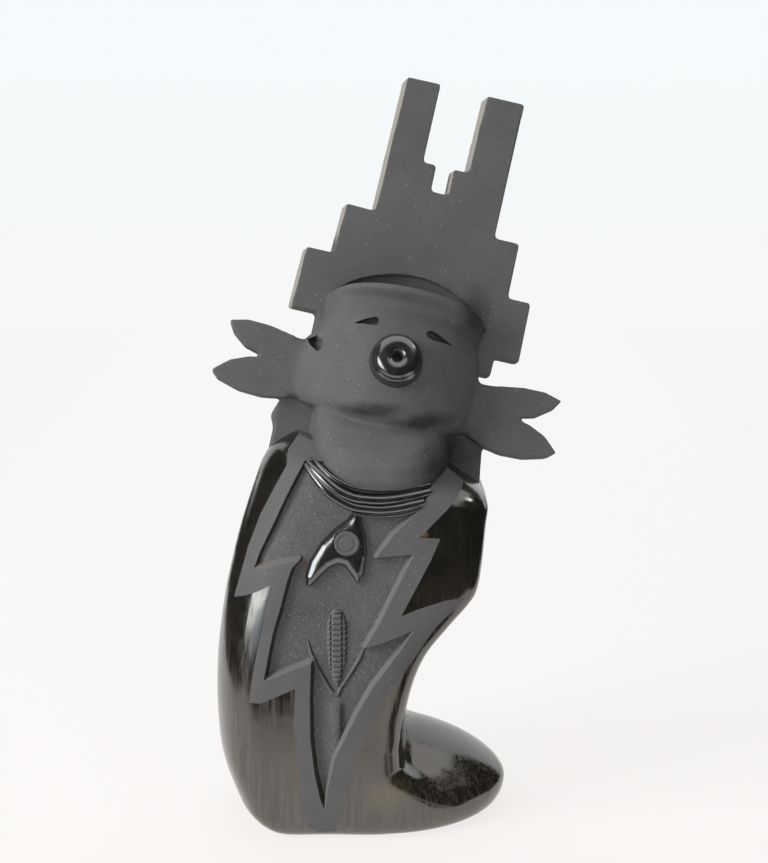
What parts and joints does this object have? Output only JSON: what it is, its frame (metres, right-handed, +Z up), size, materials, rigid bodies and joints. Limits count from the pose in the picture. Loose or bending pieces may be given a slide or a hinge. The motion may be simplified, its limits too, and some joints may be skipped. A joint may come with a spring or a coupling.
{
  "type": "pottery kachina figure",
  "caption": "Carved blackware pottery kachina figure with a bowed robe body, lightning bands, tubular snout, forked ears and a tall stepped headboard.",
  "frame": {"origin": "on the standing surface, under the middle of the oval foot", "axes": "+Z up, front and mask towards -Y, the foot's tail and the leaning head towards +X"},
  "size_m": [0.1195, 0.077, 0.2541],
  "materials": {
    "blackware_clay": "reduction-fired black clay, burnished to a mirror on the robe and matt on the carved parts"
  },
  "bodies": {
    "root": {"kachina_figure": "blackware_clay"}
  },
  "joints": []
}
